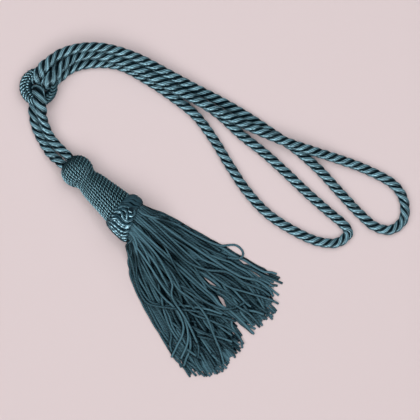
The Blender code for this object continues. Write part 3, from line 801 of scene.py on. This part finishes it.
def spread_on_ring(centre):
    """How much a cord is widened along the ring's bar, and matrices that do so near the ring."""
    away = (centre - RING_CENTRE) * (1.0, 1.0, 0.0)
    distance = np.linalg.norm(away, axis=1)
    away = away / distance[:, None]
    across = np.cross((0.0, 0.0, 1.0), away)
    height = smooth_rise(np.abs(centre[:, 2] - RING_CENTRE[2]) / SPREAD_HEIGHT)
    widen = SPREAD_IN_HOLE + (SPREAD_ON_BAR - SPREAD_IN_HOLE) * height
    widen = widen * smooth_fall(distance, SPREAD_NEAR, SPREAD_FAR)
    below = smooth_rise((RING_CENTRE[2] - centre[:, 2]) / SPREAD_HEIGHT)
    below = below * smooth_fall(distance, SPREAD_BELOW_NEAR, SPREAD_BELOW_FAR)
    fill_end = RING_HOLE_RADIUS + SPREAD_BELOW_NEAR
    fill = SPREAD_FILL * smooth_fall(distance, RING_HOLE_RADIUS, fill_end)
    sideways = (widen + SPREAD_BELOW * below)[:, None, None] * across[:, :, None] * across[:, None]
    outwards = (fill + SPREAD_FILL_BELOW * below)[:, None, None] * away[:, :, None] * away[:, None]
    return widen, np.eye(3) + sideways + outwards


def make_rope(name, route, node, material):
    """A three-strand rope along its route, squeezed and spread where it bends over the ring."""
    knots = [(*point, *LYING[len(point) - 2:]) for point in route]
    line = even_steps(spline_through(knots), ROPE_STEP)
    centre, size = line[:, :3].copy(), line[:, 3]
    centre[:, 2] = np.maximum(centre[:, 2], FLOOR_CLEARANCE + ROPE_RADIUS * size)
    inside = (ROPE_TAPER_FROM - np.linalg.norm(centre - BALL_CENTRE, axis=1)) / ROPE_TAPER_OVER
    size = size * (1 - ROPE_TAPER * smooth_rise(inside))
    widen, spread = spread_on_ring(centre)
    centres, spreads = with_ends(centre)[:, None], with_ends(spread)
    strands = plies(centre, size, ROPE_STRANDS, ROPE_RADIUS - ROPE_STRAND_RADIUS, -ROPE_PITCH)
    depth = ROPE_YARN_DEPTH + SPREAD_YARN_DEPTH * widen
    yarns = dict(ridges=ROPE_YARNS, turn=ROPE_YARN_TURN, depth=depth)
    sides = ROPE_YARNS * ROPE_YARN_POINTS
    forms = []
    for number, (strand, out) in enumerate(strands):
        tone = ROPE_TONE + ROPE_TONE_STEP * number
        radius = ROPE_STRAND_RADIUS * size
        form = tube(strand, radius, sides, out=out, wide=ROPE_STRAND_WIDENED, tone=tone, **yarns)
        offset = form["rings"] - centres
        form["rings"] = above_floor(centres + np.einsum("nij,nkj->nki", spreads, offset))
        forms.append(form)
    add_piece(name, forms, node, material)


# ---- ring


def ring_tube(turn):
    """Radius of the tube's middle line and of the tube itself, at an angle round the ring."""
    shift_x, shift_y = RING_HOLE_SHIFT
    along = shift_x * np.cos(turn) + shift_y * np.sin(turn)
    inner = along + np.sqrt(along**2 - shift_x**2 - shift_y**2 + RING_HOLE_RADIUS**2)
    return (RING_OUTER_RADIUS + inner) / 2, (RING_OUTER_RADIUS - inner) / 2


def ring_point(turn, angle, lift):
    """A point on the ring's tube, moved out from its surface by lift."""
    middle, size = ring_tube(turn)
    radius = middle + (size + lift) * np.cos(angle)
    offset = (radius * np.cos(turn), radius * np.sin(turn), (size + lift) * np.sin(angle))
    return RING_CENTRE + np.stack(offset, axis=-1)


def stitch_radius(line):
    """Half the room that a stitch has between its neighbours, at each point of its line."""
    distance = np.linalg.norm((line - RING_CENTRE)[:, :2], axis=1)
    return RING_STITCH_FILL * TURN * distance / RING_STITCHES


def bead_sizes(count, radius, blunt):
    """Places from -1 to 1 along a bead, and its radius at each."""
    lie = np.linspace(-1.0, 1.0, count)
    return lie, radius * np.sqrt(blunt - lie**2)


def make_ring(material):
    """Blanket stitches of twisted yarn round the ring, bent back at a ridge, and small loops."""
    turns = TURN * np.arange(RING_CORE_POINTS) / RING_CORE_POINTS
    angles = TURN * np.arange(RING_CORE_SIDES) / RING_CORE_SIDES
    # Painted shade: the core, at the darkest tone, bulges into the hole to fill it with dark.
    inside = np.exp(-(((angles - RING_SHADE_BULGE_ANGLE) / RING_SHADE_BULGE_WIDTH) ** 2))
    core = ring_point(turns[:, None], angles, RING_SHADE_BULGE * inside - RING_CORE_INSET)
    reach = turns * RING_OUTER_RADIUS
    forms = [{"rings": core, "reach": reach, "tone": CORE_SHADE_TONE, "closed": True}]
    share = np.linspace(0.0, 1.0, RING_STITCH_POINTS)
    angle = TURN * share + RING_STITCH_RIDGE * math.pi
    bend = RING_STITCH_SLANT * (1 - 2 * np.abs(2 * share - 1))
    yarns = dict(ridges=RING_STITCH_PLIES, turn=RING_STITCH_TWIST, depth=RING_STITCH_DEPTH)
    for number in range(RING_STITCHES):
        turn = TURN * number / RING_STITCHES + bend
        surface = ring_point(turn, angle, 0.0)
        out = unit(ring_point(turn, angle, 1.0) - surface)
        radius = stitch_radius(surface)
        line = surface - radius[:, None] * out
        tone = RING_STITCH_TONES[number % 2]
        forms.append(tube(line, radius, RING_STITCH_SIDES, out=out, tone=tone, **yarns))
    lie, radius = bead_sizes(RING_BEAD_POINTS, RING_BEAD_RADIUS, RING_BEAD_BLUNT)
    for number in range(RING_BEADS):
        turn = TURN * number / RING_BEADS + RING_BEAD_TURN * lie
        angle = RING_BEAD_ANGLE + RING_BEAD_ROLL * lie
        line = ring_point(turn, angle, RING_BEAD_LIFT - RING_BEAD_DROP * lie**2)
        forms.append(tube(line, radius, RING_BEAD_SIDES, tone=RING_BEAD_TONE))
    add_piece("ring_cover", forms, "cord_ring", material)


# ---- tassel


def tassel_axes():
    """Directions of s, u and v."""
    level, rise = math.cos(AXIS_RISE), math.sin(AXIS_RISE)
    along = np.array((math.cos(AXIS_ANGLE) * level, math.sin(AXIS_ANGLE) * level, rise))
    across = np.array((-math.sin(AXIS_ANGLE), math.cos(AXIS_ANGLE), 0.0))
    return along, across, np.cross(along, across)


def tassel_points(s, u, v):
    """Points in the tassel's frame, kept above the surface."""
    along, across, up = tassel_axes()
    s, u, v = (np.asarray(value, float)[..., None] for value in (s, u, v))
    return above_floor(BALL_CENTRE + s * along + u * across + v * up, LINE_CLEARANCE)


def make_head(material):
    """Lengthwise two-ply cords, side by side over the head's turned form."""
    outline = spline_through([(s, radius, 0.0) for s, radius in HEAD_PROFILE])
    profile = even_steps(outline, HEAD_STEP)
    s, radius = profile[:, 0], profile[:, 1]
    angle = TURN * np.arange(HEAD_CORE_SIDES) / HEAD_CORE_SIDES
    core = (radius - HEAD_CORE_INSET)[:, None]
    rings = tassel_points(s[:, None] + 0 * angle, core * np.cos(angle), core * np.sin(angle))
    reach = reach_along(profile)
    # The core is painted as dark as the shade between the cords.
    forms = [{"rings": rings, "reach": reach, "tone": CORE_SHADE_TONE, "closed": False}]
    width = HEAD_CORD_FILL * math.pi * radius / HEAD_RIBS
    middle = radius - HEAD_CORD_SINK * width
    for number in range(HEAD_RIBS):
        turn = TURN * number / HEAD_RIBS + HEAD_RIB_SLANT * s / s[-1]
        line = tassel_points(s, middle * np.cos(turn), middle * np.sin(turn))
        away = with_ends(unit(line - tassel_points(s, 0.0, 0.0)))[:, None]
        start = HEAD_PLY_START * number
        for ply, out in plies(line, width, HEAD_PLIES, HEAD_PLY_RING, HEAD_PLY_PITCH, start):
            form = tube(ply, HEAD_PLY_RADIUS * width, HEAD_PLY_SIDES, out=out)
            # Painted shade low on each ply and painted highlight on its top.
            height = ((form["rings"] - with_ends(line)[:, None]) * away).sum(2)
            form["tone"] = HEAD_SHADED_TONE + HEAD_LIT_TONE_RISE * height / with_ends(width)[:, None]
            forms.append(form)
    add_piece("head_winding", forms, "tassel_head", material)


def satin_cord(line, out, radius, depth, tone):
    """A cord of satin yarns, on the collar or in its knot."""
    yarns = dict(ridges=SATIN_CORD_YARNS, turn=SATIN_CORD_TWIST, depth=depth)
    return tube(line, radius, SATIN_CORD_SIDES, out=out, tone=tone, **yarns)


def collar_edge(u):
    """How far down the axis the collar's slanting lower edge is."""
    return COLLAR_LOWER_EDGE + COLLAR_SLANT * u


def make_collar(material):
    """A band of satin cords round the neck, which hook round its upper and lower edges."""
    section = spline_through([(share, radius, 0.0) for share, radius in COLLAR_SECTION], 8)
    share, radius = section[:, 0], section[:, 1]
    forms = []
    for number in range(COLLAR_CORDS):
        angle = TURN * number / COLLAR_CORDS - COLLAR_HOOK * (2 * share - 1) ** 3
        u, v = radius * np.cos(angle), radius * np.sin(angle)
        s = COLLAR_TOP + share * (collar_edge(u) - COLLAR_TOP)
        line = even_steps(tassel_points(s, u, v), COLLAR_CORD_STEP)
        out = line - tassel_points(COLLAR_TOP, 0.0, 0.0)
        forms.append(satin_cord(line, out, *COLLAR_CORD))
    add_piece("collar_cords", forms, "collar_rope", material)


def knot_height(u, lift):
    """How far from the axis a point of the knot is."""
    return np.sqrt((KNOT_RADIUS + lift) ** 2 - u**2)


def make_knot(material):
    """A knot of glossy cord on the collar's front, with a ball at its right."""
    forms = []
    for rows in KNOT_CORDS:
        s, u, lift = even_steps(spline_through(rows), KNOT_CORD_STEP).T
        line = tassel_points(s, u, knot_height(u, lift))
        out = np.tile((0.0, 0.0, 1.0), (len(line), 1))
        forms.append(satin_cord(line, out, *KNOT_CORD))
    s, u, lift = KNOT_BALL
    lie, radius = bead_sizes(KNOT_BALL_POINTS, KNOT_BALL_RADIUS, KNOT_BALL_BLUNT)
    line = tassel_points(s + KNOT_BALL_RADIUS * lie, u, knot_height(u, lift))
    yarns = dict(ridges=KNOT_BALL_YARNS, depth=KNOT_BALL_DEPTH)
    forms.append(tube(line, radius, SATIN_CORD_SIDES, tone=KNOT_BALL_TONE, **yarns))
    add_piece("knot_cords", forms, "collar_knot", material)


def strand_field():
    """Where strands leave the heading: points (u, v) on a golden lattice inside its circle."""
    golden = (1 + math.sqrt(5)) / 2
    scale = math.sqrt(STRAND_CELL / math.sqrt(5))
    cells = range(-STRAND_FIELD_CELLS, STRAND_FIELD_CELLS + 1)
    field = []
    for m, n in itertools.product(cells, cells):
        a, b = m + STRAND_FIELD_SHIFT[0], n + STRAND_FIELD_SHIFT[1]
        u = scale * (a + b * golden)
        v = scale * (a + b * (1 - golden))
        if math.hypot(u, v) < STRAND_FIELD_RADIUS:
            field.append((u, v))
    return sorted(field)


def guide_grid():
    """The fringe's guide lines filled in: x and y on a fine grid of share and place."""
    rows = []
    for _, *line in FRINGE_GUIDES:
        places = np.linspace(-1.0, 1.0, len(line))
        rows.append(spline_through(np.column_stack([places, line]), 10)[:, 1:])
    rows = np.array(rows)
    guide_shares = [row[0] for row in FRINGE_GUIDES]
    shares = np.linspace(guide_shares[0], FRINGE_GUIDE_END, FRINGE_GUIDE_ROWS)
    columns = []
    for column in range(rows.shape[1]):
        knots = np.column_stack([guide_shares, rows[:, column]])
        smooth = spline_through(np.vstack([knots, 2 * knots[-1] - knots[-2]]))
        columns.append([np.interp(shares, smooth[:, 0], smooth[:, axis]) for axis in (1, 2)])
    return shares, np.linspace(-1.0, 1.0, rows.shape[1]), np.array(columns).transpose(2, 0, 1)


def on_guides(grid, share, place):
    """x and y at a share of the length and a place across, past the edges too."""
    shares, places, points = grid
    row = (share - shares[0]) / (shares[1] - shares[0])
    column = (place - places[0]) / (places[1] - places[0])
    row = np.clip(row, 0, len(shares) - 1)
    i = np.clip(row.astype(int), 0, len(shares) - 2)
    j = np.clip(column.astype(int), 0, len(places) - 2)
    a, b = (row - i)[:, None], (column - j)[:, None]
    low = points[i, j] * (1 - b) + points[i, j + 1] * b
    high = points[i + 1, j] * (1 - b) + points[i + 1, j + 1] * b
    return low * (1 - a) + high * a


def on_surface(pixels):
    """x and y of pixels of the photograph."""
    return (np.array(pixels) - PIXEL_ORIGIN) * (PIXEL, -PIXEL)


def laid_rows(field):
    """Laid strands by their root, the free one that is nearest to where each starts."""
    across = tassel_axes()[1]
    taken = {}
    for layer, *pixels in LAID_STRANDS:
        flat = on_surface(pixels)
        wanted = (flat[0] - BALL_CENTRE[:2]).dot(across[:2])
        wanted = np.clip(wanted, -LAID_WITHIN, LAID_WITHIN)
        free = [root for root in field if root not in taken]
        far = [abs(u - wanted) + LAID_FROM_TOP * (STRAND_FIELD_RADIUS - v) for u, v in free]
        taken[free[int(np.argmin(far))]] = (layer, flat)
    return taken


def base_course(grid, place, locks, v, randoms):
    """Where a strand of the pile runs: along the guides, with its lock, on waves of its own."""
    reach = lookup(FRINGE_ENDS, place) - FRINGE_END_SPREAD * randoms.random() ** 2
    share = np.linspace(0.0, reach, FRINGE_POINTS)
    lock = int((place + 1) / 2 * LOCKS_ACROSS) + LOCKS_ACROSS * (v > LOCKS_UPPER_ABOVE)
    early, late = locks[lock]
    top = v > FRINGE_TOP_ABOVE
    stray = randoms.uniform(-1.0, 1.0) ** 3 * FRINGE_STRAYS[top]
    turns = randoms.uniform(*FRINGE_WAVE_TURNS)
    swing = FRINGE_WAVES[top] * randoms.random()
    wave = swing * np.sin(TURN * (share * turns + randoms.random()))
    beside = place - FRINGE_PARTING
    parted = FRINGE_PARTING_WIDTH * math.exp(-abs(beside) / FRINGE_PARTING_REACH)
    wave_rise, stray_rise, parting_rise = (
        smooth_rise((share - start) / over)
        for start, over in (FRINGE_WAVE_RISE, FRINGE_STRAY_RISE, FRINGE_PARTING_RISE)
    )
    drift = early * np.sin(math.pi * share) + late * share + stray * stray_rise
    drift += math.copysign(parted, beside) * parting_rise + wave * wave_rise
    return share, on_guides(grid, share, np.clip(place + drift, -FRINGE_EDGE, FRINGE_EDGE))


def first_lines(randoms):
    """The strands as they spread from the heading, before they settle, and their order upwards."""
    grid = guide_grid()
    axis = tassel_axes()[0]
    swings = (-LOCK_SWING, LOCK_SWING)
    locks = [(randoms.uniform(*swings), randoms.uniform(*swings)) for _ in range(LOCKS_DRAWN)]
    field = strand_field()
    laid = laid_rows(field)
    centre = np.array(VIEW_CENTRE) / MM
    lines, layers = [], []
    for u, v in field:
        layer, course = laid.get((u, v), (None, None))
        edge = collar_edge(u) - PLUG_INSET
        start = tassel_points(edge, u, v)
        share, flat = base_course(grid, u / STRAND_FIELD_RADIUS, locks, v, randoms)
        blend = smooth_rise(share / FRINGE_LEAD)[:, None]
        if course is not None:
            lead = (start + LAID_LEAD * axis)[:2]
            flat = even_points(spline_through([start[:2], lead, *course]), FRINGE_POINTS)
            share = reach_along(flat) / FRINGE_LENGTH
            blend = 1.0
        straight = start + (share * FRINGE_LENGTH)[:, None] * axis
        loft = 1.0 + (FRINGE_LOFT - 1.0) * smooth_rise(share / FRINGE_LOFTED_BY)
        press = loft / (1.0 + FRINGE_SPREAD * share)
        half = math.sqrt(STRAND_FIELD_RADIUS**2 - u**2)
        low = smooth_rise(share / FRINGE_LYING_BY)
        upright = tassel_points(edge, u, 0.0)[2] + press * v
        z = (1 - low) * upright + low * (STRAND_RADIUS + press * (v + half))
        xy = (1 - blend) * straight[:, :2] + blend * flat
        if course is not None:
            # As seen by the camera: what lies higher is nearer to the view's centre.
            xy = centre + (xy - centre) * (1 - z * MM / CAMERA_HEIGHT)[:, None]
        line = np.column_stack([xy, z])
        line = np.vstack([line[0] - STRAND_SINK * axis, line])
        lines.append(even_points(line, STRAND_POINTS))
        layers.append(v if course is None else STRAND_FIELD_RADIUS * (1 + layer))
    return np.array(lines), np.array(layers)


def near_pairs(points, strand, reach):
    """Pairs of points of different strands that are nearer each other than reach."""
    cell = np.floor(points / reach).astype(np.int64)
    cell -= cell.min(0) - 1
    wide = cell.max(0) + 2
    key = (cell[:, 0] * wide[1] + cell[:, 1]) * wide[2] + cell[:, 2]
    order = np.argsort(key, kind="stable")
    ordered = key[order]
    found = []
    for dx, dy, dz in itertools.product((-1, 0, 1), repeat=3):
        wanted = key + (dx * wide[1] + dy) * wide[2] + dz
        low = np.searchsorted(ordered, wanted, "left")
        high = np.searchsorted(ordered, wanted, "right")
        for number in range(int((high - low).max())):
            here = np.nonzero(low + number < high)[0]
            other = order[low[here] + number]
            keep = (here < other) & (strand[here] != strand[other])
            found.append(np.stack([here[keep], other[keep]]))
    first, second = np.concatenate(found, axis=1)
    gap = points[second] - points[first]
    far = np.linalg.norm(gap, axis=1)
    keep = (far < reach) & (far > NEGLIGIBLE)
    return first[keep], second[keep], gap[keep], far[keep]


def settle(lines, rounds):
    """Lets strands sink onto the surface and each other, apart by their thickness."""
    count, points = lines.shape[:2]
    strand = np.repeat(np.arange(count), points)
    step = np.linalg.norm(np.diff(lines, axis=1), axis=2, keepdims=True)
    held = lines[:, :SETTLE_PINNED].copy()
    free = smooth_rise((np.arange(points) - SETTLE_PINNED + 1) / SETTLE_FREED_OVER)[None, :, None]
    for _ in range(rounds):
        lines[..., 2] -= SETTLE_SINK * free[..., 0]
        lines += apart(lines, strand) * free
        bend = lines[:, :-2] + lines[:, 2:] - 2 * lines[:, 1:-1]
        lines[:, 1:-1] += SETTLE_STIFFNESS * bend * free[:, 1:-1]
        for _ in range(SETTLE_STRETCH_FIXES):
            gap = np.diff(lines, axis=1)
            far = np.linalg.norm(gap, axis=2, keepdims=True)
            fix = 0.5 * (far - step) / far * gap
            lines[:, :-1] += fix * free[:, :-1]
            lines[:, 1:] -= fix * free[:, 1:]
        lines[:, :SETTLE_PINNED] = held
        lines[..., 2] = np.maximum(lines[..., 2], STRAND_LOWEST)
    return lines


def apart(lines, strand):
    """How far each point moves to get clear of the other strands, evened out along its own."""
    flat = lines.reshape(-1, 3)
    first, second, gap, far = near_pairs(flat, strand, 2 * STRAND_RADIUS)
    push = (0.5 * (2 * STRAND_RADIUS - far) / far)[:, None] * gap
    move = np.zeros_like(flat)
    for axis in range(3):
        move[:, axis] += np.bincount(second, push[:, axis], len(flat))
        move[:, axis] -= np.bincount(first, push[:, axis], len(flat))
    met = np.bincount(first, minlength=len(flat)) + np.bincount(second, minlength=len(flat))
    move = (move / np.maximum(1.0, 0.5 * met)[:, None]).reshape(lines.shape)
    move[:, 1:-1] = 0.5 * move[:, 1:-1] + 0.25 * (move[:, :-2] + move[:, 2:])
    return move


def opened(lines):
    """The strands with slits between those that run along them: each moves to its own side."""
    for *pixels, opening in SLITS:
        ends = on_surface(pixels)
        half = np.linalg.norm(ends[1] - ends[0]) / 2
        along = unit(ends[1] - ends[0])
        across = np.array((-along[1], along[0]))
        away = lines[..., :2] - ends.mean(0)
        side = (away * across).sum(2)
        window = np.exp(-(((away * along).sum(2) / half) ** 2)) * (np.abs(side) < SLIT_ASIDE)
        total = window.sum(1, keepdims=True) + NEGLIGIBLE
        mean = (side * window).sum(1, keepdims=True) / total
        spread = ((side - mean) ** 2 * window).sum(1, keepdims=True) / total
        push = np.exp(-np.abs(mean) / SLIT_REACH - spread / SLIT_STRAIGHT**2)
        lines[..., :2] += (opening * np.sign(mean) * push * window)[..., None] * across
    return lines


def in_cells(points, low):
    """The cells of the height field that hold points."""
    return ((points[:, :2] - low) / DRAPE_CELL).astype(int)


def bridged(height):
    """Heights along a strand, as it lies on the highest spots and bends over them."""
    reach = round(DRAPE_REACH / DRAPE_CELL)
    padded = np.pad(height, reach, "edge")
    highest = np.lib.stride_tricks.sliding_window_view(padded, 2 * reach + 1).max(1)
    weights = np.hanning(4 * reach + 3)[1:-1]
    padded = np.pad(highest, 2 * reach, "edge")
    return np.convolve(padded, weights / weights.sum(), "valid") - DRAPE_SINK


def drape(lines, layers):
    """Lays the upper strands again, each one over all those below it, on a field of heights."""
    low = lines[..., :2].min((0, 1)) - DRAPE_MARGIN
    size = np.ceil((lines[..., :2].max((0, 1)) + DRAPE_MARGIN - low) / DRAPE_CELL).astype(int)
    rest = np.full(size, STRAND_LOWEST)
    thick = 2 * STRAND_RADIUS
    cells = math.ceil(thick / DRAPE_CELL)
    around = np.arange(-cells, cells + 1)
    dx, dy = (grid.ravel() for grid in np.meshgrid(around, around, indexing="ij"))
    places = np.linspace(0.0, 1.0, STRAND_POINTS)
    laid = smooth_rise(places / LAID_BLEND)
    for number in np.argsort(layers, kind="stable"):
        line = lines[number]
        if layers[number] > FRINGE_TOP_ABOVE:
            i, j = in_cells(even_steps(line, DRAPE_CELL), low).T
            height = bridged(rest[i, j])
            draped = np.interp(places, np.linspace(0.0, 1.0, len(height)), height)
            line[:, 2] = (1 - laid) * line[:, 2] + laid * np.maximum(draped, STRAND_LOWEST)
        fine = even_steps(line, DRAPE_CELL)
        cell = in_cells(fine, low)
        i, j = cell[:, :1] + dx, cell[:, 1:] + dy
        away = (low[0] + (i + 0.5) * DRAPE_CELL - fine[:, :1]) ** 2
        away = away + (low[1] + (j + 0.5) * DRAPE_CELL - fine[:, 1:2]) ** 2
        over = fine[:, 2:] + np.sqrt(np.maximum(thick**2 - away, 0.0))
        np.maximum.at(rest, (i, j), np.where(away < thick**2, over, 0.0))
    return lines


def buried(lines):
    """For painted shade: how deep each strand point lies among the strands close above it."""
    count, points = lines.shape[:2]
    flat = lines.reshape(-1, 3)
    first, second, gap, far = near_pairs(flat, np.repeat(np.arange(count), points), SHADE_REACH)
    weight = (1 - far / SHADE_REACH) * np.abs(gap[:, 2]) / far
    lower = np.where(gap[:, 2] > 0, first, second)
    return np.bincount(lower, weight, len(flat)).reshape(count, points)


def make_skirt(material):
    """The fringe's strands, with painted shade the deeper they lie and the lower on their flanks.
    """
    randoms = random.Random(FRINGE_SEED)
    lines, layers = first_lines(randoms)
    pile = layers <= STRAND_FIELD_RADIUS
    lines[pile] = settle(lines[pile], SETTLE_ROUNDS)
    lines = drape(opened(lines), layers)
    low = smooth_rise(np.linspace(0.0, 1.0, STRAND_POINTS) / STRAND_BRIGHT_BY)
    # Painted shade from the strands above, less towards the heading, where the strands are made
    # brighter.
    shade = (SHADE_AT_TOP + (1 - SHADE_AT_TOP) * low) * buried(lines) - STRAND_BRIGHTER * (1 - low)
    forms = []
    for line, depth in zip(lines, shade):
        form = tube(line, STRAND_RADIUS * randoms.uniform(*STRAND_SIZES), STRAND_SIDES)
        middle = with_ends(line)[:, None, 2]
        below = 1 - (form["rings"][..., 2] - middle) / STRAND_RADIUS
        # Painted shade on each strand's lower flanks.
        flank = STRAND_FLANK_SHADE * np.maximum(below - STRAND_LIT, 0.0)
        form["tone"] = randoms.uniform(*STRAND_TONES) - with_ends(depth)[:, None] - flank
        forms.append(form)
    for number in range(FRINGE_PIECES):
        share = forms[number::FRINGE_PIECES]
        add_piece(f"fringe_{number + 1}", share, "tassel_skirt", material)


# ---- the whole


def make_ropes():
    rope = yarn_material("rope", **ROPE_YARN)
    make_rope("loop_rope_strands", LOOP_ROUTE, "loop_rope", rope)
    make_rope("tassel_cord_strands", CORD_ROUTE, "tassel_cord", rope)


def make_tassel():
    make_head(yarn_material("head_winding", **HEAD_YARN))
    collar_cord = yarn_material("collar_cord", **COLLAR_YARN)
    make_collar(collar_cord)
    make_knot(collar_cord)
    make_skirt(yarn_material("fringe", **FRINGE_YARN))


make_camera()
make_ropes()
make_ring(yarn_material("ring_cover", **RING_YARN))
make_tassel()
make_lights()
make_floor()
